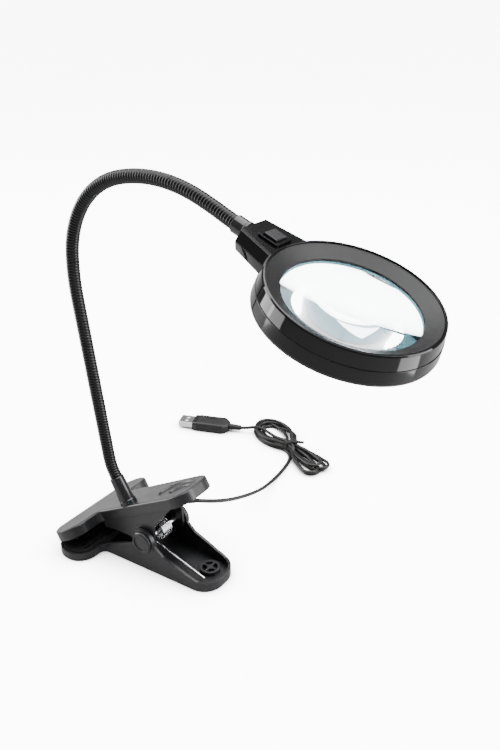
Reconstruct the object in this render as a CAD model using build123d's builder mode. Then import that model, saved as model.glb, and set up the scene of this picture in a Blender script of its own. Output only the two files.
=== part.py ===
from build123d import *
import math
import os

os.makedirs("parts", exist_ok=True)

# ---------------------------------------------------------------- driving dimensions (mm)
# Frame: X runs from the jaw tips to the handles, Z is up, and the origin is the middle of
# the lower jaw pad's gripping face. At rest the lower lever lies flat.
BASE_Z = -6.0             # underside of the lower lever, the surface it lies on
REST_ANGLE = 29.85        # slope of the upper lever with the jaws closed, degrees
PIVOT = (44.5, 0.0, 15.0)
WALL = 1.8                # side walls of both levers
PIN_RADIUS = 2.5
PIN_CLEARANCE = 0.05

BAR_HALF = 38.0           # half the width of both jaw bars
LIP_DEPTH = 7.0           # upper lever, edge to edge
TOP_WALL = 2.4
SKIRT_IN = 12.6           # inner face of the upper lever's side skirts
SKIRT_OUT = 14.4
TRAY_FLOOR = 2.0
EAR_RADIUS = 8.6
EAR_OUT = 17.9            # outer face of the round ears

HOSE_RADIUS = 3.85
JOINT_GAP = 1.6           # bending gap between two spans of the hose
CORD_RADIUS = 1.25

RING_DROP = 15.0          # height of the magnifier head
PARTING = -7.0            # where its two shells meet

# ---------------------------------------------------------------- reference planes
SLOPE = math.radians(REST_ANGLE)
UPPER = Plane(
    origin=(33, 0, 36.2),
    x_dir=(math.cos(SLOPE), 0, math.sin(SLOPE)),
    z_dir=(-math.sin(SLOPE), 0, math.cos(SLOPE)),
)
FERRULE_FOOT = UPPER.from_local_coords(Vector(-6.0, -10.0, 0.0))
FERRULE_TOP = FERRULE_FOOT + UPPER.z_dir * 18.5
NECK = Plane(origin=FERRULE_TOP + UPPER.z_dir * 0.06, x_dir=(1, 0, 0), z_dir=(0, -1, 0.013))
HEAD = Plane(
    origin=(179.9, -15.6, 207.4),
    x_dir=(-0.94007, 0.09352, 0.32790),
    z_dir=(0.32417, -0.05303, 0.94451),
)
PLUG = Plane(origin=(-4.5, 155.4, BASE_Z + 4), x_dir=(0.36, -0.933, 0), z_dir=(-0.933, -0.36, 0))
HANK = Plane(origin=(45, 153.5, BASE_Z), x_dir=(0.905, -0.425, 0), z_dir=(0, 0, 1))

finished = {}


def tee(front, notch, end, bar, neck, tail, radii, inset=0.0):
    """Draw a lever's outline in the open sketch: a jaw bar with a tapering handle behind it."""
    bar_r, notch_r, end_r = radii
    points = [
        (front + inset, -bar + inset),
        (notch - inset, -bar + inset),
        (notch - inset, -neck + inset),
        (end - inset, -tail + inset),
        (end - inset, tail - inset),
        (notch - inset, neck - inset),
        (notch - inset, bar - inset),
        (front + inset, bar - inset),
    ]
    rounds = [bar_r - inset, bar_r - inset, notch_r + inset, end_r - inset]
    with BuildLine() as outline:
        FilletPolyline(*points, radius=rounds + rounds[::-1], close=True)
    make_face(outline.edges())


def upper_outline(inset=0.0):
    """Outline of the upper lever in its own plane."""
    tee(-60.0, -34.4, 48.1, BAR_HALF, 14.4, 15.9, (12.2, 4.0, 11.4), inset)


def lower_outline(inset=0.0):
    """Outline of the lower lever, seen from above."""
    tee(-15.6, 10.6, 94.3, BAR_HALF + 0.6, 19.0, 14.9, (12.3, 4.0, 13.0), inset)


def turned(points, origin, along, across):
    """Make a piece turned about an axis, from (radius, height) points of its half section."""
    side = Plane(origin=origin, x_dir=across, z_dir=Vector(across).cross(Vector(along)))
    with BuildPart() as piece:
        with BuildSketch(side):
            with BuildLine():
                Polyline(*points, close=True)
            make_face()
        revolve(axis=Axis(origin, along))
    return piece


def head_ring(points):
    """Turn a piece about the lens axis, from (radius, height) points."""
    return turned(points, HEAD.origin, HEAD.z_dir, HEAD.x_dir)


# ---------------------------------------------------------------- upper lever of the clip
PIVOT_XZ = (PIVOT[0], PIVOT[2])
SKIRT_PROFILE = [
    (7.5, 12.2), (9.2, 9.7), (20, 11.3), (31, 11.8), (34.5, 9.0), (44.5, 8.6), (51.9, 15.5),
    (51.2, 26.1), (54.2, 30.5), (60.7, 39.5), (64.2, 44.3), (70.5, 51.8), (66.0, 53.4), (5.5, 18.8),
]
with BuildPart() as upper_lever:
    with BuildSketch(UPPER):
        upper_outline()
    extrude(amount=-LIP_DEPTH)
    top_face = upper_lever.faces().sort_by(Axis(UPPER.origin, UPPER.z_dir))[-1]
    fillet(top_face.edges(), radius=1.3)
    with BuildSketch(UPPER.offset(-TOP_WALL)):
        upper_outline(WALL)
    extrude(amount=-LIP_DEPTH, mode=Mode.SUBTRACT)
    for offset_y in (SKIRT_IN, -SKIRT_OUT):
        with BuildSketch(Plane.XZ.offset(offset_y)):
            with BuildLine():
                Polyline(*SKIRT_PROFILE, close=True)
            make_face()
            with Locations(PIVOT_XZ):
                Circle(7.5)
        extrude(amount=SKIRT_OUT - SKIRT_IN)
    with BuildSketch(Plane.XZ):
        with Locations(PIVOT_XZ):
            Circle(PIN_RADIUS + PIN_CLEARANCE)
    extrude(amount=20, both=True, mode=Mode.SUBTRACT)
    with BuildSketch(UPPER):
        with Locations((-6.0, -10.0)):
            Circle(1.95)
    extrude(amount=-4, mode=Mode.SUBTRACT)
    for centre, level, grow in ((30.5, 0.0, 0.0), (33.0, -0.9, -5.6)):
        with BuildSketch(UPPER.offset(level + 0.1)):
            with Locations((centre, 0)):
                Ellipse(15.1 + grow, 10.1 + grow * 0.7)
        with BuildSketch(UPPER.offset(level - 0.9)):
            with Locations((centre, 0)):
                Ellipse(14.1 + grow, 9.1 + grow * 0.7)
        loft(mode=Mode.SUBTRACT)
finished["clip_upper_lever"] = upper_lever

# ---------------------------------------------------------------- lower lever of the clip
LOWER_SIDE = [
    (-20, -6), (-20, -0.3), (11.9, -0.4), (25.3, 6.1), (37.2, 11.3), (44.5, 12), (52.9, 14.2),
    (59.4, 9.0), (68.8, 6.1), (77.5, 3.0), (85.0, 1.0), (99, 1.0), (99, -6),
]
with BuildPart() as lower_lever:
    with BuildSketch(Plane.XY.offset(BASE_Z)):
        lower_outline()
    extrude(amount=32)
    with BuildSketch(Plane.XZ):
        with BuildLine():
            Polyline(*LOWER_SIDE, close=True)
        make_face()
        with Locations(PIVOT_XZ):
            Circle(EAR_RADIUS)
    extrude(amount=50, both=True, mode=Mode.INTERSECT)
    fillet(lower_lever.faces().sort_by(Axis.Z)[0].edges(), radius=0.9)
    with BuildSketch(Plane.XY.offset(BASE_Z + TRAY_FLOOR)):
        lower_outline(WALL)
    extrude(amount=32, mode=Mode.SUBTRACT)
    for offset_y in (EAR_OUT - 2.2, -EAR_OUT):
        with BuildSketch(Plane.XZ.offset(offset_y)):
            with Locations(PIVOT_XZ):
                Circle(EAR_RADIUS)
        extrude(amount=2.2)
    with BuildSketch(Plane.XZ):
        with Locations(PIVOT_XZ):
            Circle(PIN_RADIUS)
    extrude(amount=20, both=True, mode=Mode.SUBTRACT)
    with BuildSketch(Plane.XY.offset(BASE_Z + TRAY_FLOOR)):
        with Locations((80.5, 3.5)):
            Circle(6.4)
            Circle(4.8, mode=Mode.SUBTRACT)
            Rectangle(1.3, 10.6)
            Rectangle(10.6, 1.3)
            Circle(2.0)
    extrude(amount=2.8)
finished["clip_lower_lever"] = lower_lever

# ---------------------------------------------------------------- rubber jaw pads
UPPER_PAD_X = -47.2
with BuildPart() as pad_upper:
    with BuildSketch(UPPER.offset(-TOP_WALL - 0.02)):
        with Locations((UPPER_PAD_X, 0)):
            RectangleRounded(21.6, 71.8, 10.3)
    extrude(amount=-5.6)
    with BuildSketch(UPPER.offset(-TOP_WALL - 5.62)):
        with Locations((UPPER_PAD_X, 0)):
            with GridLocations(3.8, 0, 5, 1):
                Rectangle(1.4, 60)
    extrude(amount=1.0, mode=Mode.SUBTRACT)
finished["jaw_pad_upper"] = pad_upper

with BuildPart() as pad_lower:
    with BuildSketch(Plane.XY.offset(BASE_Z + TRAY_FLOOR + 0.02)):
        with Locations((-2.5, 0)):
            RectangleRounded(22.2, 73.0, 10.3)
    extrude(amount=-BASE_Z - TRAY_FLOOR - 0.02)
    with BuildSketch(Plane.XY):
        with Locations((-2.5, 0)):
            with GridLocations(3.8, 0, 5, 1):
                Rectangle(1.4, 60)
    extrude(amount=-1.0, mode=Mode.SUBTRACT)
finished["jaw_pad_lower"] = pad_lower

# ---------------------------------------------------------------- pivot pin and its two caps
with BuildPart() as pin:
    with BuildSketch(Plane.XZ):
        with Locations(PIVOT_XZ):
            Circle(PIN_RADIUS)
    extrude(amount=EAR_OUT, both=True)
finished["pivot_pin"] = pin

with BuildPart() as caps:
    for side in (1, -1):
        rim = Plane(origin=(PIVOT[0], side * EAR_OUT, PIVOT[2]), x_dir=(1, 0, 0), z_dir=(0, side, 0))
        with BuildSketch(rim):
            Circle(7.4)
        extrude(amount=1.8)
        outer = caps.faces().sort_by(Axis.Y)[-1 if side > 0 else 0]
        fillet(outer.edges(), radius=1.3)
        with BuildSketch(rim.offset(1.8)):
            Circle(5.3)
        extrude(amount=-0.5, mode=Mode.SUBTRACT)
finished["pivot_caps"] = caps

# ---------------------------------------------------------------- torsion spring
WIRE_RADIUS = 0.8
COIL_RADIUS = 5.7
COIL_PITCH = 1.72
COIL_TURNS = 5.25
COIL_END = math.radians(140.8)    # where the wire leaves the coil for the upper handle
coil_path = Helix(
    pitch=COIL_PITCH,
    height=COIL_PITCH * COIL_TURNS,
    radius=COIL_RADIUS,
    center=(PIVOT[0], -4.7, PIVOT[2]),
    direction=(0, 1, 0),
)
end_now = coil_path @ 1 - Vector(PIVOT[0], 0, PIVOT[2])
turn_needed = math.degrees(math.atan2(end_now.Z, end_now.X) - COIL_END)
coil_path = coil_path.rotate(Axis(PIVOT, (0, 1, 0)), turn_needed)
leg_end = coil_path @ 1 + Vector(math.sin(COIL_END), 0, -math.cos(COIL_END)) * 40.5
leg_start = coil_path @ 1
with BuildPart() as spring:
    with BuildSketch(Plane(origin=coil_path @ 0, z_dir=coil_path % 0)):
        Circle(WIRE_RADIUS)
    sweep(path=coil_path, is_frenet=True)
    leg = (leg_end - leg_start).normalized()
    with BuildSketch(Plane(origin=leg_start - leg * 0.3, z_dir=leg)):
        Circle(WIRE_RADIUS - 0.03)
    extrude(amount=40.8)
finished["spring_coil"] = spring

LEG_ANGLE = math.radians(-15.9)   # the other leg runs back and down into the lower tray
LEG_PLANE = Plane(origin=(PIVOT[0], -6.45, PIVOT[2]), x_dir=(1, 0, 0), z_dir=(0, -1, 0))
with BuildPart() as spring_leg:
    with BuildLine(LEG_PLANE) as leg_line:
        touch = (COIL_RADIUS * math.sin(LEG_ANGLE), -COIL_RADIUS * math.cos(LEG_ANGLE))
        run = (math.cos(LEG_ANGLE), math.sin(LEG_ANGLE))
        far = (touch[0] + 42.5 * run[0], touch[1] + 42.5 * run[1])
        Line(far, touch)
        JernArc(touch, (-run[0], -run[1]), COIL_RADIUS, -75)
    with BuildSketch(Plane(origin=leg_line.line @ 0, z_dir=leg_line.line % 0)):
        Circle(WIRE_RADIUS)
    sweep(path=leg_line.line)
finished["spring_leg"] = spring_leg

# ---------------------------------------------------------------- foot of the gooseneck
FERRULE_SECTION = [
    (1.1, -8.0), (1.9, -8.0), (1.9, 0.0), (5.3, 0.0), (5.3, 2.4), (4.95, 3.0), (4.45, 18.0),
    (4.1, 18.5), (1.1, 18.5),
]
finished["base_ferrule"] = turned(FERRULE_SECTION, FERRULE_FOOT, UPPER.z_dir, UPPER.x_dir)

with BuildPart() as nut:
    with BuildSketch(Plane(origin=FERRULE_FOOT - UPPER.z_dir * (TOP_WALL + 0.02),
                           x_dir=UPPER.x_dir, z_dir=-UPPER.z_dir)):
        RegularPolygon(radius=2.5, side_count=6, major_radius=False, rotation=0)
        Circle(1.92, mode=Mode.SUBTRACT)
    extrude(amount=2.6)
finished["hose_nut"] = nut

# ---------------------------------------------------------------- gooseneck hose in spans
# Each span is a list of moves: a straight length, or an arc as (radius, turn in degrees).
NECK_SPANS = [
    ("neck_base", [4.36, (20.0, -21.2)]),
    ("neck_1", [48.2]),
    ("neck_2", [51.5]),
    ("neck_3", [(115.6, -13.27), (51.4, -18.0)]),
    ("neck_4", [(51.4, -55.0)]),
    ("neck_5", [(87.0, -34.2), 12.5]),
]


def neck_span(moves, x, y, heading):
    """Sweep one span of the hose from a point of the neck plane and return where it ends."""
    with BuildPart() as piece:
        with BuildLine(NECK) as path:
            for move in moves:
                ahead = (math.cos(heading), math.sin(heading))
                if isinstance(move, tuple):
                    radius, turn = move
                    JernArc((x, y), ahead, radius, turn)
                    side = heading - math.pi / 2
                    heading += math.radians(turn)
                    x += radius * (math.cos(side) - math.cos(heading - math.pi / 2))
                    y += radius * (math.sin(side) - math.sin(heading - math.pi / 2))
                else:
                    Line((x, y), (x + move * ahead[0], y + move * ahead[1]))
                    x += move * ahead[0]
                    y += move * ahead[1]
        with BuildSketch(Plane(origin=path.line @ 0, z_dir=path.line % 0)):
            Circle(HOSE_RADIUS)
        sweep(path=path.line)
    return piece, x, y, heading


x, y, heading = 0.0, 0.0, math.radians(90 + REST_ANGLE)
for name, moves in NECK_SPANS:
    finished[name], x, y, heading = neck_span(moves, x, y, heading)
    ahead = (math.cos(heading), math.sin(heading))
    bend = NECK.from_local_coords(Vector(x + ahead[0] * JOINT_GAP / 2, y + ahead[1] * JOINT_GAP / 2))
    aim = NECK.from_local_coords(Vector(x + ahead[0], y + ahead[1])) - NECK.from_local_coords(Vector(x, y))
    print("bend after", name, [round(v, 3) for v in bend], "along", [round(v, 4) for v in aim])
    x += ahead[0] * JOINT_GAP
    y += ahead[1] * JOINT_GAP

HOSE_DROP = -5.5                  # the hose meets the head this far below its top rim
FERRULE_END = 71.0
last_bend = HEAD.from_local_coords(Vector(FERRULE_END + 8.8, 0, HOSE_DROP))
print("last bend should be", [round(v, 3) for v in last_bend])
with BuildPart() as neck_head:
    start = HEAD.from_local_coords(Vector(FERRULE_END + 8.0, 0, HOSE_DROP))
    with BuildSketch(Plane(origin=start, x_dir=HEAD.z_dir, z_dir=-HEAD.x_dir)):
        Circle(HOSE_RADIUS)
    extrude(amount=8.0)
finished["neck_head"] = neck_head

HEAD_FERRULE = [
    (0, 57.0), (3.0, 57.0), (3.0, 62.4), (4.9, 62.4), (4.9, 63.6), (4.6, 64.0), (4.6, 70.5), (4.2, 71.0), (0, 71.0),
]
finished["head_ferrule"] = turned(
    HEAD_FERRULE, HEAD.from_local_coords(Vector(0, 0, HOSE_DROP)), HEAD.x_dir, HEAD.z_dir
)

# ---------------------------------------------------------------- magnifier head, upper shell
HANDLE_TOP = [(37.0, -12.9), (61.0, -8.65), (61.0, 8.65), (37.0, 12.9)]
HANDLE_MID = [(37.0, -14.2), (61.8, -9.8), (61.8, 9.8), (37.0, 14.2)]
HANDLE_LOW = [(37.0, -13.6), (62.4, -7.1), (62.4, 7.1), (37.0, 13.6)]


def quad(points, height, inset=0.0):
    """One level of the handle, set in by a wall thickness at its sides and rear."""
    rear = points[1][0] - inset
    sides = [(points[0][0], points[0][1] + inset), (rear, points[1][1] + inset)]
    with BuildSketch(HEAD.offset(height)) as level:
        with BuildLine():
            Polyline(*sides, (rear, -sides[1][1]), (sides[0][0], -sides[0][1]), close=True)
        make_face()
    return level.sketch


def half_section(points):
    """Half section of a turned part of the head, from (radius, height) points."""
    with BuildSketch(Plane(origin=HEAD.origin, x_dir=HEAD.x_dir, z_dir=-HEAD.y_dir)) as section:
        with BuildLine():
            Polyline(*points, close=True)
        make_face()
    return section.sketch


LENS_AXIS = Axis(HEAD.origin, HEAD.z_dir)
with BuildSketch(Plane(origin=HEAD.from_local_coords(Vector(55.0, 0, HOSE_DROP)),
                       x_dir=HEAD.z_dir, z_dir=HEAD.x_dir)) as hose_bore:
    Circle(3.05)


UPPER_RING = [(0, 0), (41.1, 0), (41.66, -0.6), (42.7, PARTING), (0, PARTING)]
UPPER_WELL = [(0, 1), (40.2, 1), (40.2, -2.9), (39.6, -3.6), (40.6, -8), (0, -8)]
with BuildPart() as shell_upper:
    loft([quad(HANDLE_MID, PARTING), quad(HANDLE_TOP, -0.9)])
    extrude(quad(HANDLE_TOP, -0.9), amount=0.9)
    revolve(half_section(UPPER_RING), axis=LENS_AXIS)
    revolve(half_section(UPPER_WELL), axis=LENS_AXIS, mode=Mode.SUBTRACT)
    loft([quad(HANDLE_MID, PARTING - 0.1, 1.8), quad(HANDLE_TOP, -2.0, 1.8)], mode=Mode.SUBTRACT)
    with BuildSketch(HEAD.offset(1)):
        with Locations((47.95, 0)):
            Rectangle(9.9, 9.8)
    extrude(amount=-4, mode=Mode.SUBTRACT)
    extrude(hose_bore.sketch, amount=12, mode=Mode.SUBTRACT)
finished["head_upper_shell"] = shell_upper

# ---------------------------------------------------------------- magnifier head, lower shell
LOWER_TOP = PARTING - 0.15
LOWER_RING = [
    (0, LOWER_TOP), (43.0, LOWER_TOP), (43.66, -13.2), (43.3, -14.5), (42.6, -RING_DROP), (0, -RING_DROP),
]
LOWER_WELL = [(0, -6), (41.4, -6), (41.9, -12.8), (40.6, -13.4), (40.6, -16), (0, -16)]
with BuildPart() as shell_lower:
    loft([quad(HANDLE_LOW, -12.8), quad(HANDLE_MID, LOWER_TOP)])
    revolve(half_section(LOWER_RING), axis=LENS_AXIS)
    revolve(half_section(LOWER_WELL), axis=LENS_AXIS, mode=Mode.SUBTRACT)
    loft([quad(HANDLE_LOW, -11.0, 1.8), quad(HANDLE_MID, LOWER_TOP + 0.1, 1.8)], mode=Mode.SUBTRACT)
    for screw_x in (46.5, 57.0):
        with BuildSketch(HEAD.offset(-14)):
            with Locations((screw_x, 0)):
                Circle(2.3)
        extrude(amount=2.4, mode=Mode.SUBTRACT)
    extrude(hose_bore.sketch, amount=12, mode=Mode.SUBTRACT)
finished["head_lower_shell"] = shell_lower

# ---------------------------------------------------------------- lens, its bezel and its light
finished["bezel_ring"] = head_ring([(32.6, -4.5), (40.1, -0.75), (40.1, -2.3), (36.0, -4.6), (36.0, -5.9), (32.6, -5.6)])

LENS_EDGE = 33.5
LENS_CURVE = 115.0                # radius of both faces
LENS_SAG = LENS_CURVE - math.sqrt(LENS_CURVE**2 - LENS_EDGE**2)
MID_SAG = LENS_SAG - LENS_CURVE + math.sqrt(LENS_CURVE**2 - (LENS_EDGE / 2) ** 2)
LENS_TOP = -6.2
LENS_BASE = -8.4
with BuildPart() as lens:
    with BuildSketch(Plane(origin=HEAD.origin, x_dir=HEAD.x_dir, z_dir=-HEAD.y_dir)):
        with BuildLine():
            Line((0, LENS_BASE - LENS_SAG), (0, LENS_TOP + LENS_SAG))
            ThreePointArc((0, LENS_TOP + LENS_SAG), (LENS_EDGE / 2, LENS_TOP + MID_SAG), (LENS_EDGE, LENS_TOP))
            Line((LENS_EDGE, LENS_TOP), (LENS_EDGE, LENS_BASE))
            ThreePointArc((LENS_EDGE, LENS_BASE), (LENS_EDGE / 2, LENS_BASE - MID_SAG), (0, LENS_BASE - LENS_SAG))
        make_face()
    revolve(axis=Axis(HEAD.origin, HEAD.z_dir))
finished["lens"] = lens

finished["lens_retainer"] = head_ring(
    [(33.7, -6.0), (35.4, -6.0), (35.4, -9.6), (31.9, -9.6), (31.9, -9.2), (33.7, -8.5)]
)
finished["light_ring"] = head_ring([(33.6, -9.8), (35.0, -9.8), (35.0, -13.2), (40.5, -13.2), (40.5, -14.4), (33.6, -14.4)])
finished["led_board"] = head_ring([(35.8, -9.8), (40.6, -9.8), (40.6, -10.8), (35.8, -10.8)])

LED_COUNT = 24
with BuildPart() as leds:
    with BuildSketch(HEAD.offset(-10.85)):
        with PolarLocations(38.2, LED_COUNT):
            Rectangle(2.6, 3.4)
    extrude(amount=-1.2)
finished["leds"] = leds

# ---------------------------------------------------------------- switch on the handle
with BuildPart() as switch_body:
    with BuildSketch(HEAD.offset(0.02)):
        with Locations((47.95, 0)):
            RectangleRounded(12.1, 11.6, 1.2)
    extrude(amount=1.0)
    with BuildSketch(HEAD.offset(0.5)):
        with Locations((47.95, 0)):
            Rectangle(9.7, 9.6)
    extrude(amount=-5.5)
    with BuildSketch(HEAD.offset(2)):
        with Locations((47.95, 0)):
            Rectangle(8.3, 8.4)
    extrude(amount=-4.6, mode=Mode.SUBTRACT)
finished["switch_body"] = switch_body

with BuildPart() as button:
    with BuildSketch(HEAD.offset(-1.3)):
        with Locations((47.95, 0)):
            Rectangle(7.9, 8.0)
    extrude(amount=3.3)
    button_top = button.faces().sort_by(Axis(HEAD.origin, HEAD.z_dir))[-1]
    fillet(button_top.edges(), radius=0.5)
finished["switch_button"] = button

with BuildPart() as screws:
    for screw_x in (46.5, 57.0):
        with BuildSketch(HEAD.offset(-11.62)):
            with Locations((screw_x, 0)):
                Circle(2.1)
        extrude(amount=-1.0)
        with BuildSketch(HEAD.offset(-12.62)):
            with Locations((screw_x, 0)):
                Rectangle(2.6, 0.6)
                Rectangle(0.6, 2.6)
        extrude(amount=0.5, mode=Mode.SUBTRACT)
finished["head_screws"] = screws

# ---------------------------------------------------------------- cord outlet under the handle
OUTLET_START = Vector(70.5, -8.2, 51.9)
CORD_START = Vector(75.4, -2.3, 50.0)
OUTLET_AIM = (CORD_START - OUTLET_START).normalized()
with BuildPart() as grommet:
    with BuildSketch(UPPER.offset(-TOP_WALL - 0.02)):
        with Locations((36.5, -8.4)):
            Rectangle(6.5, 6.0)
    extrude(amount=-5.6)
    with BuildSketch(Plane(origin=OUTLET_START, z_dir=OUTLET_AIM)):
        Circle(2.5)
    with BuildSketch(Plane(origin=CORD_START, z_dir=OUTLET_AIM)):
        Circle(1.55)
    loft()
finished["cord_grommet"] = grommet

# Lead inside the clip, from the hollow ferrule stud back to the outlet.
STUD_END = UPPER.from_local_coords(Vector(-6.0, -10.0, -8.0))
BLOCK_FACE = UPPER.from_local_coords(Vector(33.0, -8.4, -5.2))
with BuildPart() as inner_lead:
    with BuildLine() as lead_line:
        FilletPolyline(
            STUD_END,
            UPPER.from_local_coords(Vector(-6.0, -10.0, -13.0)),
            UPPER.from_local_coords(Vector(8.0, -9.8, -11.5)),
            BLOCK_FACE,
            radius=[3.2, 25],
        )
    with BuildSketch(Plane(origin=lead_line.line @ 0, z_dir=lead_line.line % 0)):
        Circle(CORD_RADIUS)
    sweep(path=lead_line.line)
finished["inner_lead"] = inner_lead

# ---------------------------------------------------------------- free cord
FLOOR = BASE_Z + CORD_RADIUS
CORD_ROUTE = [
    (75.4, -2.3, 50.0), (79.0, 2.0, 48.6), (79.6, 12.9, 42.4), (75.6, 33.1, 30.2), (68.9, 59.6, 15.4),
    (62.8, 86.9, 2.6), (57.3, 109.0, FLOOR + 0.3), (55.7, 124.3, FLOOR), (53.4, 136.4, FLOOR),
    (50.0, 145.6, FLOOR), (45.6, 151.6, FLOOR),
]
TAIL_ROUTE = [(-4.5, 155.4, BASE_Z + 4), (0.2, 157.2, BASE_Z + 3.2), (4.6, 160.2, FLOOR + 0.3)]


def corner_radii(points):
    """Radius of each corner: 0.45 of the shorter run over the tangent of half the turn."""
    runs = [Vector(b) - Vector(a) for a, b in zip(points, points[1:])]
    radii = []
    for before, after in zip(runs, runs[1:]):
        half = math.radians(before.get_angle(after)) / 2
        radii.append(0.45 * min(before.length, after.length) / math.tan(half))
    return radii


def tube(points, label):
    """Sweep the cord's section along straight runs joined by tangent arcs."""
    radii = corner_radii(points)
    with BuildPart() as piece:
        with BuildLine() as path:
            FilletPolyline(*points, radius=radii)
        with BuildSketch(Plane(origin=path.line @ 0, z_dir=path.line % 0)):
            Circle(CORD_RADIUS)
        sweep(path=path.line)
    length = path.wire().length
    ideal = math.pi * CORD_RADIUS**2 * length
    print(label, "radii", [round(r, 1) for r in radii])
    print(label, "length", round(length, 1), "volume ratio", round(piece.part.volume / ideal, 4))
    return piece


finished["usb_cord"] = tube(CORD_ROUTE, "usb_cord")
finished["usb_cord_tail"] = tube(TAIL_ROUTE, "usb_cord_tail")

# Outer shape of the tied hank: a wide open loop, a waist and a narrow loop, flat on the surface.
with BuildPart() as hank:
    with BuildSketch(HANK):
        with Locations((-26.5, 1.5)):
            Ellipse(23.5, 16.5)
            Ellipse(13.5, 7.0, mode=Mode.SUBTRACT)
        with Locations((20.5, 3.6)):
            SlotOverall(40, 14.5, rotation=4)
        with Locations((-2.0, 0.6)):
            Rectangle(9.0, 8.6)
    extrude(amount=5.4)
    with BuildSketch(HANK):
        with Locations((-1.5, 0.8)):
            Rectangle(12.0, 8.8)
    extrude(amount=7.6)
finished["cord_hank"] = hank

# Twist tie round the waist of the hank.
with BuildPart() as tie:
    with BuildSketch(Plane(origin=HANK.from_local_coords(Vector(-3.6, 0, 0)),
                           x_dir=HANK.y_dir, z_dir=HANK.x_dir)):
        with Locations((0.8, 4.2)):
            Rectangle(10.4, 8.4)
        with Locations((0.8, 3.8)):
            Rectangle(9.0, 7.8, mode=Mode.SUBTRACT)
    extrude(amount=3.8)
    with BuildSketch(HANK.offset(8.3)):
        with Locations((3.0, 5.0)):
            Rectangle(3.2, 9.0, rotation=-40)
    extrude(amount=0.6)
finished["cord_tie"] = tie

# ---------------------------------------------------------------- plug
RELIEF = [(0, 0), (1.9, 0)]
for rib in range(4):
    RELIEF += [(2.15 + 0.12 * rib, 0.4 + 2.4 * rib), (2.3 + 0.12 * rib, 2.0 + 2.4 * rib), (1.8 + 0.12 * rib, 2.1 + 2.4 * rib)]
RELIEF += [(2.6, 10.0), (0, 10.0)]
finished["plug_relief"] = turned(RELIEF, PLUG.origin, PLUG.z_dir, PLUG.x_dir)

with BuildPart() as plug_body:
    with BuildSketch(PLUG.offset(10.0)):
        RectangleRounded(9.0, 6.2, 2.4)
    with BuildSketch(PLUG.offset(14.0)):
        RectangleRounded(16.0, 8.0, 2.4)
    loft()
    with BuildSketch(PLUG.offset(14.0)):
        RectangleRounded(16.0, 8.0, 2.4)
    extrude(amount=22.0)
    for side in (1, -1):
        with BuildSketch(Plane(origin=PLUG.from_local_coords(Vector(0, side * 4.1, 25)),
                               x_dir=PLUG.z_dir, z_dir=PLUG.y_dir)):
            SlotOverall(13, 6)
        extrude(amount=-0.5 * side, mode=Mode.SUBTRACT)
finished["plug_body"] = plug_body

with BuildPart() as collar:
    with BuildSketch(PLUG.offset(36.0)):
        RectangleRounded(15.2, 7.2, 1.8)
        Rectangle(12.04, 4.54, mode=Mode.SUBTRACT)
    extrude(amount=3.7)
finished["plug_collar"] = collar

with BuildPart() as shell:
    with BuildSketch(PLUG.offset(36.02)):
        RectangleRounded(12.0, 4.5, 0.5)
        RectangleRounded(11.3, 3.8, 0.3, mode=Mode.SUBTRACT)
    extrude(amount=15.7)
    for face_y in (2.3, -2.3):
        with BuildSketch(Plane(origin=PLUG.from_local_coords(Vector(0, face_y, 45.5)),
                               x_dir=PLUG.x_dir, z_dir=PLUG.y_dir)):
            with GridLocations(4.6, 0, 2, 1):
                Rectangle(2.2, 2.6)
        extrude(amount=0.6, both=True, mode=Mode.SUBTRACT)
finished["plug_shell"] = shell

with BuildPart() as tongue:
    with BuildSketch(PLUG.offset(36.02)):
        with Locations((0, 0.85)):
            Rectangle(11.0, 1.9)
    extrude(amount=14.6)
finished["plug_tongue"] = tongue

with BuildPart() as contacts:
    with BuildSketch(Plane(origin=PLUG.from_local_coords(Vector(0, -0.12, 45.2)),
                           x_dir=PLUG.x_dir, z_dir=-PLUG.y_dir)):
        for contact_x, contact_l in ((-3.5, 7.4), (-1.0, 6.4), (1.0, 6.4), (3.5, 7.4)):
            with Locations((contact_x, 0)):
                Rectangle(1.0, contact_l)
    extrude(amount=0.2)
finished["plug_contacts"] = contacts

# ---------------------------------------------------------------- write every piece
for label, piece in finished.items():
    piece.part.label = label
    export_step(piece.part, "parts/" + label + ".step")
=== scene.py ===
import math

import bmesh
import bpy
from mathutils import Matrix, Vector


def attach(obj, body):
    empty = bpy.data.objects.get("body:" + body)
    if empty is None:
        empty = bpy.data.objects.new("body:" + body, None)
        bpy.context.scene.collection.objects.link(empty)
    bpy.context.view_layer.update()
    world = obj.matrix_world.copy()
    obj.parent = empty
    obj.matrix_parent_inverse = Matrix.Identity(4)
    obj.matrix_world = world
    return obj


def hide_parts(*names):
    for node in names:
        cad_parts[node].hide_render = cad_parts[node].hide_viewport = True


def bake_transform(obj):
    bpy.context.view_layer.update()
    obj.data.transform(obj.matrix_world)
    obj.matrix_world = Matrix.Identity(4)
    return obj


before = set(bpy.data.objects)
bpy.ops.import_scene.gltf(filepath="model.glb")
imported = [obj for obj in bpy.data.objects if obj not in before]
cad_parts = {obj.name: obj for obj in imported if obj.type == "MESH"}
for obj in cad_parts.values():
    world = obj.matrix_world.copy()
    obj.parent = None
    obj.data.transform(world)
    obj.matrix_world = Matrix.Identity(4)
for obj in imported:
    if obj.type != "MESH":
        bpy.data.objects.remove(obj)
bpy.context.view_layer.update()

MM = 0.001
FLOOR = -6.0              # the surface that the clip and the cord lie on, mm
CORD_R = 1.25
HOSE_R = 3.85


# ---------------------------------------------------------------- camera
CAMERA_AT = Vector((327.37, -305.28, 328.57))
CAMERA_AHEAD = Vector((-0.5138, 0.7333, -0.4452))


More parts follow.
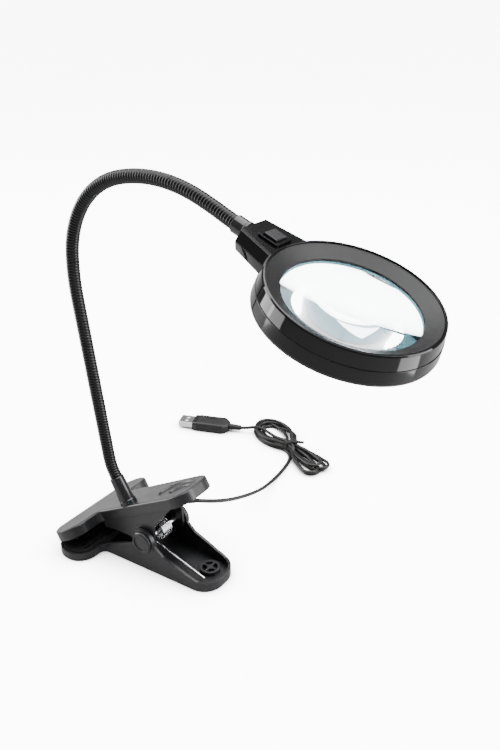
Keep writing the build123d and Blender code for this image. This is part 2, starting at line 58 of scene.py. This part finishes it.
def aim_camera():
    """Camera at the photograph's viewing angle."""
    cam = bpy.data.cameras.new("camera")
    cam.lens = 38.4
    cam.sensor_width = 36.0
    cam.clip_end = 100.0
    obj = bpy.data.objects.new("camera", cam)
    bpy.context.scene.collection.objects.link(obj)
    ahead = CAMERA_AHEAD.normalized()
    right = ahead.cross(Vector((0, 0, 1))).normalized()
    up = right.cross(ahead)
    turn = Matrix((right, up, -ahead)).transposed().to_4x4()
    obj.matrix_world = Matrix.Translation(CAMERA_AT * MM) @ turn
    bpy.context.scene.camera = obj


# ---------------------------------------------------------------- materials
def shader(name):
    m = bpy.data.materials.new(name)
    m.use_nodes = True
    tree = m.node_tree
    return m, tree, tree.nodes["Principled BSDF"]


def surface(name, color, rough, metal=0.0, grain=(900.0, 0.05), mottle=0.15, coat=0.0, edge=0.25, spec=0.5):
    """Moulded, plated or painted surface: soft edges, fine grain and a slightly uneven sheen."""
    m, tree, b = shader(name)
    n, link = tree.nodes, tree.links.new
    b.inputs["Metallic"].default_value = metal
    b.inputs["Coat Weight"].default_value = coat
    b.inputs["Coat Roughness"].default_value = 0.06
    b.inputs["Specular IOR Level"].default_value = spec
    place = n.new("ShaderNodeTexCoord")
    cloud = n.new("ShaderNodeTexNoise")
    cloud.inputs["Scale"].default_value = 60.0
    cloud.inputs["Detail"].default_value = 5.0
    link(place.outputs["Object"], cloud.inputs["Vector"])
    sheen = n.new("ShaderNodeMapRange")
    sheen.inputs["To Min"].default_value = rough * (1 - mottle)
    sheen.inputs["To Max"].default_value = min(1.0, rough * (1 + mottle))
    link(cloud.outputs["Fac"], sheen.inputs["Value"])
    link(sheen.outputs["Result"], b.inputs["Roughness"])
    tint = n.new("ShaderNodeMix")
    tint.data_type = "RGBA"
    tint.inputs["A"].default_value = [c * 0.85 for c in color] + [1]
    tint.inputs["B"].default_value = [min(1, c * 1.15) for c in color] + [1]
    link(cloud.outputs["Fac"], tint.inputs["Factor"])
    link(tint.outputs["Result"], b.inputs["Base Color"])
    fine = n.new("ShaderNodeTexNoise")
    fine.inputs["Scale"].default_value = grain[0]
    fine.inputs["Detail"].default_value = 3.0
    link(place.outputs["Object"], fine.inputs["Vector"])
    bump = n.new("ShaderNodeBump")
    bump.inputs["Strength"].default_value = grain[1]
    bump.inputs["Distance"].default_value = 0.0002
    link(fine.outputs["Fac"], bump.inputs["Height"])
    if edge:
        soft = n.new("ShaderNodeBevel")
        soft.inputs["Radius"].default_value = edge * MM
        link(soft.outputs["Normal"], bump.inputs["Normal"])
    link(bump.outputs["Normal"], b.inputs["Normal"])
    return m


def clear(name, color, rough, ior, ribs=0.0):
    """Clear moulding or lens."""
    m, tree, b = shader(name)
    b.inputs["Base Color"].default_value = (*color, 1)
    b.inputs["Roughness"].default_value = rough
    b.inputs["IOR"].default_value = ior
    b.inputs["Transmission Weight"].default_value = 1.0
    if ribs:
        n, link = tree.nodes, tree.links.new
        place = n.new("ShaderNodeTexCoord")
        wave = n.new("ShaderNodeTexNoise")
        wave.inputs["Scale"].default_value = ribs
        link(place.outputs["Object"], wave.inputs["Vector"])
        bump = n.new("ShaderNodeBump")
        bump.inputs["Strength"].default_value = 0.15
        bump.inputs["Distance"].default_value = 0.0004
        link(wave.outputs["Fac"], bump.inputs["Height"])
        link(bump.outputs["Normal"], b.inputs["Normal"])
    return m


aim_camera()

CLIP = surface(
    "clip black", (0.010, 0.010, 0.011), 0.32, grain=(1400, 0.10), mottle=0.2, edge=0.35, spec=0.45,
)
PAD = surface("pad rubber", (0.008, 0.008, 0.008), 0.75, grain=(1600, 0.3), edge=0.2, spec=0.2)
STEEL = surface("bright steel", (0.86, 0.86, 0.88), 0.14, metal=1.0, grain=(500, 0.03), edge=0.1)
HOSE = surface("hose black", (0.002, 0.002, 0.002), 0.2, grain=(800, 0.03), edge=0.0, spec=0.28)
FERRULE = surface("ferrule black", (0.008, 0.008, 0.009), 0.2, grain=(700, 0.03), edge=0.2, spec=0.5)
GLOSS = surface(
    "polished black", (0.002, 0.002, 0.0022), 0.06, grain=(300, 0.01), mottle=0.2, edge=0.4, spec=0.28,
)
MATTE = surface("textured grey", (0.006, 0.006, 0.0065), 0.4, grain=(2600, 0.5), edge=0.15, spec=0.26)
BUTTON = surface("button black", (0.005, 0.005, 0.006), 0.24, grain=(900, 0.02), edge=0.4, spec=0.2)
RUBBER = surface("cord sheath", (0.010, 0.010, 0.010), 0.42, grain=(900, 0.12), edge=0.0, spec=0.3)
OVERMOULD = surface("plug overmould", (0.012, 0.012, 0.012), 0.45, grain=(1500, 0.25), edge=0.3, spec=0.3)
BOARD = surface("light board", (0.78, 0.80, 0.78), 0.5, grain=(900, 0.1), edge=0.05)
LED = surface("emitter", (0.9, 0.86, 0.55), 0.3, grain=(900, 0.05), edge=0.1)
GOLD = surface("gold flash", (0.85, 0.62, 0.25), 0.25, metal=1.0, edge=0.02)
TONGUE = surface("tongue white", (0.8, 0.8, 0.8), 0.4, edge=0.1)
# Painted reflection: opaque pale teal and dark stripes on the lens rim, the light guide's inner wall and the
# lens retainer stand in for the teal, ribbed light ring seen through the lens.
PAINTED_REFLECTION_PALE = surface("painted reflection pale", (0.30, 0.66, 0.78), 0.4, grain=(900, 0.1), edge=0.0)
PAINTED_REFLECTION_DARK = surface("painted reflection dark", (0.02, 0.05, 0.06), 0.4, grain=(900, 0.1), edge=0.0)
LENS = clear("lens", (0.96, 0.99, 1.0), 0.0, 1.49)
GUIDE = clear("light guide", (0.66, 0.92, 0.97), 0.04, 1.45, ribs=700.0)

FINISH = {
    "clip_upper_lever": CLIP, "clip_lower_lever": CLIP, "pivot_caps": CLIP,
    "jaw_pad_upper": PAD, "jaw_pad_lower": PAD,
    "pivot_pin": STEEL, "spring_coil": STEEL, "spring_leg": STEEL, "hose_nut": STEEL, "head_screws": STEEL,
    "base_ferrule": FERRULE, "head_ferrule": FERRULE,
    "head_upper_shell": GLOSS, "head_lower_shell": GLOSS, "switch_body": GLOSS,
    "bezel_ring": MATTE, "lens_retainer": PAINTED_REFLECTION_PALE, "switch_button": BUTTON,
    "light_ring": GUIDE, "led_board": BOARD, "leds": LED,
    "cord_grommet": OVERMOULD, "inner_lead": RUBBER, "cord_tie": RUBBER,
    "plug_relief": OVERMOULD, "plug_body": OVERMOULD, "plug_collar": FERRULE,
    "plug_shell": STEEL, "plug_tongue": TONGUE, "plug_contacts": GOLD,
}


def dress(obj, material):
    """Give every slot of an object one material."""
    if not obj.data.materials:
        obj.data.materials.append(material)
    for slot in obj.material_slots:
        slot.material = material


for node, material in FINISH.items():
    dress(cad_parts[node], material)


# ---------------------------------------------------------------- free cord
HANK_X = Vector((0.905, -0.425, 0))
HANK_Y = Vector((0.425, 0.905, 0))


def in_hank(x, y, z):
    """Row-frame point, mm, from the hank's own axes; z is the height over the surface."""
    return Vector((45, 153.5, FLOOR)) + HANK_X * x + HANK_Y * y + Vector((0, 0, z))


ROUTE = [
    (75.4, -2.3, 50.0), (79.0, 2.0, 48.6), (79.6, 12.9, 42.4), (75.6, 33.1, 30.2), (68.9, 59.6, 15.4),
    (62.8, 86.9, 2.6), (57.3, 109.0, FLOOR + CORD_R + 0.3), (55.7, 124.3, FLOOR + CORD_R),
    (53.4, 136.4, FLOOR + CORD_R), (50.0, 145.6, FLOOR + CORD_R),
]
# Each turn of the hank: the open loop's half axes, middle, lean and height, the narrow loop's reach,
# half width, heading and height, and its places in the waist on the way out and on the way back.
TURNS = [
    (21.6, 14.6, (-26.0, 1.6), 0.0, 1.3, 37.5, 6.3, -5.0, 1.3, (-3.2, 1.3), (3.9, 1.3)),
    (18.6, 11.9, (-25.2, 2.4), 6.0, 3.8, 36.0, 6.0, 7.5, 1.3, (-0.6, 1.5), (1.6, 1.5)),
    (20.2, 10.4, (-25.6, -1.4), -8.0, 2.4, 38.6, 5.8, -9.0, 3.8, (-3.0, 4.0), (3.6, 3.9)),
    (17.0, 9.6, (-24.4, 4.4), 11.0, 1.3, 38.2, 5.7, 10.0, 3.8, (-0.4, 4.1), (1.7, 4.1)),
    (19.4, 13.0, (-26.4, 0.4), -3.0, 5.2, 34.5, 5.6, 0.5, 6.2, (-2.2, 6.5), (2.9, 6.4)),
]


def hank_points():
    """Turns of the tied hank, from the waist round the open loop, the waist and the narrow loop."""
    points = []
    for half_x, half_y, middle, lean, loft, reach, width, heading, height, out, back in TURNS:
        tilt = math.radians(lean)
        points.append((-1.0, out[0], out[1]))
        for step in range(12):
            turn = math.radians(-30 - step * 27.3)
            along, aside = half_x * math.cos(turn), half_y * math.sin(turn)
            near = max(0.0, 1 - min(step, 11 - step) / 3)
            ends = out[1] if step < 6 else back[1]
            points.append((
                middle[0] + along * math.cos(tilt) - aside * math.sin(tilt),
                middle[1] + along * math.sin(tilt) + aside * math.cos(tilt),
                loft + (ends - loft) * near,
            ))
        points.append((-0.5, back[0], back[1]))
        aim = math.radians(heading)
        side = [(6.0, 0.45 * width), (13.0, 0.85 * width), (21.0, width)]
        fold = [math.radians(90 - 30 * k) for k in range(7)]
        tip = [(reach - width * (1 - math.cos(a)), width * math.sin(a)) for a in fold]
        way = side + tip + [(x, -y) for x, y in reversed(side)]
        for step, (x, y) in enumerate(way):
            near = max(0.0, 1 - min(step, len(way) - 1 - step) / 2.5)
            ends = back[1] if step < 6 else 3.0
            points.append((
                x * math.cos(aim) - y * math.sin(aim),
                1.2 + x * math.sin(aim) + y * math.cos(aim),
                height + (ends - height) * near * 0.8,
            ))
    return [in_hank(*p) for p in points]


TAIL = [
    (3.0, 0.6, 6.4), (-2.0, 0.2, 6.8), (-7.5, -0.2, 6.4), (-13.5, -1.4, 5.0), (-20.0, -2.8, 4.2),
    (-26.5, -4.4, 5.0), (-32.5, -7.0, 6.6), (-38.2, -10.9, 6.2), (-42.3, -15.6, 4.4), (-45.6, -19.3, 4.0),
]


def nurbs(name, points, radius, material):
    """One open NURBS curve with a round section; points in mm."""
    curve = bpy.data.curves.new(name, "CURVE")
    curve.dimensions = "3D"
    curve.bevel_depth = 1.0        # each point's radius scales it to the cord's, so its box stays true
    curve.bevel_resolution = 6
    curve.resolution_u = 8
    curve.use_fill_caps = True
    spline = curve.splines.new("NURBS")
    spline.points.add(len(points) - 1)
    for point, place in zip(spline.points, points):
        point.co = (*(Vector(place) * MM), 1.0)
        point.radius = radius * MM
    spline.order_u = 3
    spline.use_endpoint_u = True
    obj = bpy.data.objects.new(name, curve)
    bpy.context.scene.collection.objects.link(obj)
    curve.materials.append(material)
    return obj


whole_route = [Vector(p) for p in ROUTE] + hank_points() + [in_hank(*p) for p in TAIL]
lead = nurbs("usb_lead", whole_route, CORD_R, RUBBER)
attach(lead, "clip_upper")
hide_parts("usb_cord", "cord_hank", "usb_cord_tail")


# ---------------------------------------------------------------- ribbed gooseneck
SLOPE = math.radians(29.85)
UPPER_X = Vector((math.cos(SLOPE), 0, math.sin(SLOPE)))
UPPER_Z = Vector((-math.sin(SLOPE), 0, math.cos(SLOPE)))
NECK_START = Vector((33, 0, 36.2)) + UPPER_X * -6.0 + Vector((0, -10, 0)) + UPPER_Z * 18.56
NECK_Y = Vector((0, 0.013, 1)).normalized()
HEAD_AT = Vector((179.9, -15.6, 207.4))
HEAD_X = Vector((-0.94007, 0.09352, 0.32790))
HEAD_Z = Vector((0.32417, -0.05303, 0.94451))
HEAD_Y = HEAD_Z.cross(HEAD_X)
# Each span between bends: straight lengths, mm, and arcs as (radius, turn in degrees).
SPANS = [
    [4.36, (20.0, -21.2)], [48.2], [51.5], [(115.6, -13.27), (51.4, -18.0)], [(51.4, -55.0)],
    [(87.0, -34.2), 12.5],
]
GAP = 1.6                 # straight run at each bend
RIB = 1.73                # pitch of the ribs
RIB_DEPTH = 0.5
STEPS_PER_RIB = 8
SMOOTHING = 30            # passes that round off the line where spans meet


def hose_line():
    """Centreline of the hose, mm, and the distance along it of each bend."""
    x, y, heading = 0.0, 0.0, math.radians(90 + 29.85)
    line = [(0.0, 0.0)]
    bends = []
    travelled = 0.0
    for moves in SPANS:
        for move in moves + [GAP]:
            turn = math.radians(move[1]) if isinstance(move, tuple) else 0.0
            reach = abs(move[0] * turn) if turn else move
            if move == GAP:
                bends.append(travelled + GAP / 2)
            steps = max(2, round(reach / 0.8))
            for _ in range(steps):
                heading += turn / steps / 2
                x += math.cos(heading) * reach / steps
                y += math.sin(heading) * reach / steps
                heading += turn / steps / 2
                line.append((x, y))
            travelled += reach
    places = [NECK_START + Vector((px, 0, 0)) + NECK_Y * py for px, py in line]
    meets = HEAD_AT + HEAD_X * 79.0 + HEAD_Z * -5.5      # where the straight end at the head begins
    while (places[-1] - meets).length < 4.0 or (places[-1] - meets).dot(HEAD_X) < 0:
        places.pop()
    places += [meets - HEAD_X * d for d in (0.8, 1.6, 2.4, 3.2, 4.0, 4.8, 5.6, 6.4, 7.2, 8.0)]
    for _ in range(SMOOTHING):
        places[1:-1] = [(a + b * 2 + c) / 4 for a, b, c in zip(places, places[1:], places[2:])]
    return places, bends


def resample(places, step):
    """Points at an even step along a line, with its end point."""
    out = []
    left = 0.0
    for a, b in zip(places, places[1:]):
        run = (b - a).length
        while left <= run:
            out.append(a.lerp(b, left / run))
            left += step
        left -= run
    out.append(places[-1])
    return out


def ribbed_tube(name, places, material, around=40):
    """Tube along evenly spaced (number, point, direction) rows, with the rounded ribs of a wound hose."""
    mesh = bpy.data.meshes.new(name)
    bm = bmesh.new()
    rings = []
    across = Vector((0, 1, 0))
    for index, place, ahead in places:
        side = (across - ahead * across.dot(ahead)).normalized()
        up = ahead.cross(side)
        swell = abs(math.sin(math.pi * index / STEPS_PER_RIB))
        radius = HOSE_R - RIB_DEPTH * (1 - swell ** 0.6)
        ring = []
        for k in range(around):
            angle = 2 * math.pi * k / around
            spot = place + (side * math.cos(angle) + up * math.sin(angle)) * radius
            ring.append(bm.verts.new(spot * MM))
        rings.append(ring)
    for a, b in zip(rings, rings[1:]):
        for k in range(around):
            j = (k + 1) % around
            face = bm.faces.new((a[k], a[j], b[j], b[k]))
            face.smooth = True
    bm.faces.new(list(reversed(rings[0])))
    bm.faces.new(rings[-1])
    bm.normal_update()
    bmesh.ops.recalc_face_normals(bm, faces=bm.faces)
    bm.to_mesh(mesh)
    bm.free()
    mesh.materials.append(material)
    obj = bpy.data.objects.new(name, mesh)
    bpy.context.scene.collection.objects.link(obj)
    return obj


line, bends = hose_line()
STEP = RIB / STEPS_PER_RIB
samples = resample(line, STEP)
stations = []
for i, place in enumerate(samples):
    before = samples[max(0, i - STEPS_PER_RIB // 2)]
    after = samples[min(len(samples) - 1, i + STEPS_PER_RIB // 2)]
    stations.append((i, place, (after - before).normalized()))
NECK_NODES = [["neck_base"], ["neck_1"], ["neck_2"], ["neck_3"], ["neck_4"], ["neck_5", "neck_head"]]
middles = [STEPS_PER_RIB * round((a + b) / 2 / RIB) for a, b in zip(bends, bends[1:])]
cuts = [0] + middles + [len(stations) - 1]
for k in range(6):
    piece = ribbed_tube(f"gooseneck_{k + 1}", stations[cuts[k]:cuts[k + 1] + 1], HOSE)
    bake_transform(piece)
    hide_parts(*NECK_NODES[k])


# ---------------------------------------------------------------- ribbed light guide
def light_guide():
    """Clear ring round the lens, with fine upright ribs on its inner wall, painted pale teal with dark
    stripes as a painted reflection of the ribbed light ring.
    """
    # (radius, height) round the section; the inner wall is its first point and its last two.
    section = [
        (33.6, -9.8), (35.0, -9.8), (35.0, -13.2), (40.5, -13.2), (40.5, -14.4), (34.4, -14.4), (33.6, -14.0),
    ]
    inner = {0, 5, 6}
    mesh = bpy.data.meshes.new("ribbed_guide")
    bm = bmesh.new()
    count, depth = 480, 0.35
    rings = []
    for k in range(count):
        angle = 2 * math.pi * k / count
        out = HEAD_X * math.cos(angle) + HEAD_Y * math.sin(angle)
        rib = depth if k % 4 < 2 else 0.0
        rings.append([
            bm.verts.new((HEAD_AT + out * (r + (rib if i in inner else 0)) + HEAD_Z * z) * MM)
            for i, (r, z) in enumerate(section)
        ])
    for k, (a, b) in enumerate(zip(rings, rings[1:] + rings[:1])):
        for i in range(len(section)):
            j = (i + 1) % len(section)
            face = bm.faces.new((a[i], b[i], b[j], a[j]))
            if i in inner and j in inner:
                # Painted reflection: the inner wall's faces are pale teal, every eighth one dark.
                face.material_index = 2 if k % 8 == 0 else 1
    bmesh.ops.recalc_face_normals(bm, faces=bm.faces)
    bm.to_mesh(mesh)
    bm.free()
    for material in (GUIDE, PAINTED_REFLECTION_PALE, PAINTED_REFLECTION_DARK):
        mesh.materials.append(material)
    obj = bpy.data.objects.new("ribbed_guide", mesh)
    bpy.context.scene.collection.objects.link(obj)
    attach(obj, "head")
    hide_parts("light_ring")


light_guide()


# ---------------------------------------------------------------- lens
def lens():
    """Thick lens with the same faces as the CAD one; its rim is painted pale teal with fine dark ribs, a
    painted reflection of the ribbed light ring seen through the lens.
    """
    rim, curve = 33.5, 115.0
    top, base = -6.2, -8.4
    count, rings = 360, 40
    sag = curve - math.sqrt(curve ** 2 - rim ** 2)
    mesh = bpy.data.meshes.new("thick_lens")
    bm = bmesh.new()

    def ring(radius, height):
        angles = [2 * math.pi * k / count for k in range(count)]
        out = [HEAD_X * math.cos(t) + HEAD_Y * math.sin(t) for t in angles]
        return [bm.verts.new((HEAD_AT + way * radius + HEAD_Z * height) * MM) for way in out]

    sides = []
    for edge, sign in ((top, 1), (base, -1)):
        tip = bm.verts.new((HEAD_AT + HEAD_Z * (edge + sign * sag)) * MM)
        loops = []
        for i in range(1, rings + 1):
            radius = rim * i / rings
            rise = sag - curve + math.sqrt(curve ** 2 - radius ** 2)
            loops.append(ring(radius, edge + sign * rise))
        for k in range(count):
            bm.faces.new((tip, loops[0][k], loops[0][(k + 1) % count])).smooth = True
        for a, b in zip(loops, loops[1:]):
            for k in range(count):
                j = (k + 1) % count
                bm.faces.new((a[k], b[k], b[j], a[j])).smooth = True
        sides.append(loops[-1])
    for k in range(count):
        j = (k + 1) % count
        face = bm.faces.new((sides[0][k], sides[1][k], sides[1][j], sides[0][j]))
        # Painted reflection: every third rim face dark, the rest pale teal.
        face.material_index = 2 if k % 3 == 0 else 1
    bmesh.ops.recalc_face_normals(bm, faces=bm.faces)
    bm.to_mesh(mesh)
    bm.free()
    for material in (LENS, PAINTED_REFLECTION_PALE, PAINTED_REFLECTION_DARK):
        mesh.materials.append(material)
    obj = bpy.data.objects.new("thick_lens", mesh)
    bpy.context.scene.collection.objects.link(obj)
    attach(obj, "head")
    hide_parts("lens")


lens()


# ---------------------------------------------------------------- floor and light
BACKDROP = 9.0            # brightness of the backdrop to the camera
FILL = 0.35               # brightness of the surroundings in reflections


def bright_when_seen(tree):
    """1 where the camera sees the backdrop, straight or through the lens, and 0 in reflections."""
    path = tree.nodes.new("ShaderNodeLightPath")
    seen = tree.nodes.new("ShaderNodeMath")
    seen.operation = "MAXIMUM"
    tree.links.new(path.outputs["Is Camera Ray"], seen.inputs[0])
    tree.links.new(path.outputs["Is Transmission Ray"], seen.inputs[1])
    return seen.outputs["Value"]


def floor():
    """Plain pale floor under the part, white to the camera as on a light table; its brightness is dimmed next
    to the parts as a painted contact shadow.
    """
    mesh = bpy.data.meshes.new("floor")
    reach = 40.0
    z = FLOOR * MM - 0.00005
    corners = [(-reach, -reach, z), (reach, -reach, z), (reach, reach, z), (-reach, reach, z)]
    mesh.from_pydata(corners, [], [(0, 1, 2, 3)])
    m, tree, b = shader("floor")
    b.inputs["Roughness"].default_value = 0.9
    b.inputs["Specular IOR Level"].default_value = 0.1
    seen = bright_when_seen(tree)
    paint = tree.nodes.new("ShaderNodeMix")
    paint.data_type = "RGBA"
    paint.inputs["A"].default_value = (0.4, 0.4, 0.4, 1)
    paint.inputs["B"].default_value = (0.9, 0.9, 0.9, 1)
    tree.links.new(seen, paint.inputs["Factor"])
    tree.links.new(paint.outputs["Result"], b.inputs["Base Color"])
    glow = tree.nodes.new("ShaderNodeMath")
    glow.operation = "MULTIPLY"
    # Painted contact shadow: ambient occlusion dims the floor's emission close to the clip and the cord.
    near = tree.nodes.new("ShaderNodeAmbientOcclusion")
    near.inputs["Distance"].default_value = 0.035
    painted_contact_shadow = tree.nodes.new("ShaderNodeMapRange")
    painted_contact_shadow.inputs["From Min"].default_value = 0.35
    painted_contact_shadow.inputs["From Max"].default_value = 0.95
    tree.links.new(near.outputs["AO"], painted_contact_shadow.inputs["Value"])
    tree.links.new(painted_contact_shadow.outputs["Result"], glow.inputs[1])
    level = tree.nodes.new("ShaderNodeMath")
    level.operation = "MULTIPLY"
    level.inputs[1].default_value = BACKDROP
    tree.links.new(seen, level.inputs[0])
    tree.links.new(level.outputs["Value"], glow.inputs[0])
    b.inputs["Emission Color"].default_value = (1, 1, 1, 1)
    tree.links.new(glow.outputs["Value"], b.inputs["Emission Strength"])
    mesh.materials.append(m)
    obj = bpy.data.objects.new("floor", mesh)
    bpy.context.scene.collection.objects.link(obj)


def softbox(name, place, look, size, power):
    """Soft light: its place and what it faces in mm, its size in metres, its power in watts."""
    light = bpy.data.lights.new(name, "AREA")
    light.shape = "RECTANGLE"
    light.size, light.size_y = size
    light.energy = power
    obj = bpy.data.objects.new(name, light)
    bpy.context.scene.collection.objects.link(obj)
    at = Vector(place) * MM
    obj.location = at
    obj.rotation_euler = (Vector(look) * MM - at).to_track_quat("-Z", "Y").to_euler()


floor()
softbox("top light", (150, 250, 1500), (100, 0, 60), (1.8, 1.8), 70.0)
softbox("left light", (-1300, -300, 700), (80, 0, 120), (0.7, 1.4), 34.0)
softbox("right light", (1100, 500, 600), (120, 0, 150), (0.6, 1.2), 22.0)
softbox("low left light", (-900, -620, 40), (180, -16, 200), (0.5, 0.16), 2.2)
softbox("low right light", (420, 60, 12), (215, -20, 195), (0.14, 0.1), 0.34)

world = bpy.data.worlds.new("world")
bpy.context.scene.world = world
world.use_nodes = True
nodes, link = world.node_tree.nodes, world.node_tree.links.new
path = nodes.new("ShaderNodeLightPath")
backdrop = nodes["Background"].inputs
open_air, through = nodes.new("ShaderNodeMapRange"), nodes.new("ShaderNodeMix")
open_air.inputs["To Min"].default_value = FILL
open_air.inputs["To Max"].default_value = BACKDROP
link(path.outputs["Is Camera Ray"], open_air.inputs["Value"])
# Painted reflection: rays that pass through the clear lens and guide see the backdrop tinted pale blue,
# standing in for the teal light ring seen through the lens.
through.data_type = "RGBA"
through.inputs["A"].default_value = (1, 1, 1, 1)
through.inputs["B"].default_value = (0.10, 1.25, 1.75, 1)
link(path.outputs["Is Transmission Ray"], through.inputs["Factor"])
link(open_air.outputs["Result"], backdrop["Strength"])
link(through.outputs["Result"], backdrop["Color"])

bpy.context.view_layer.update()
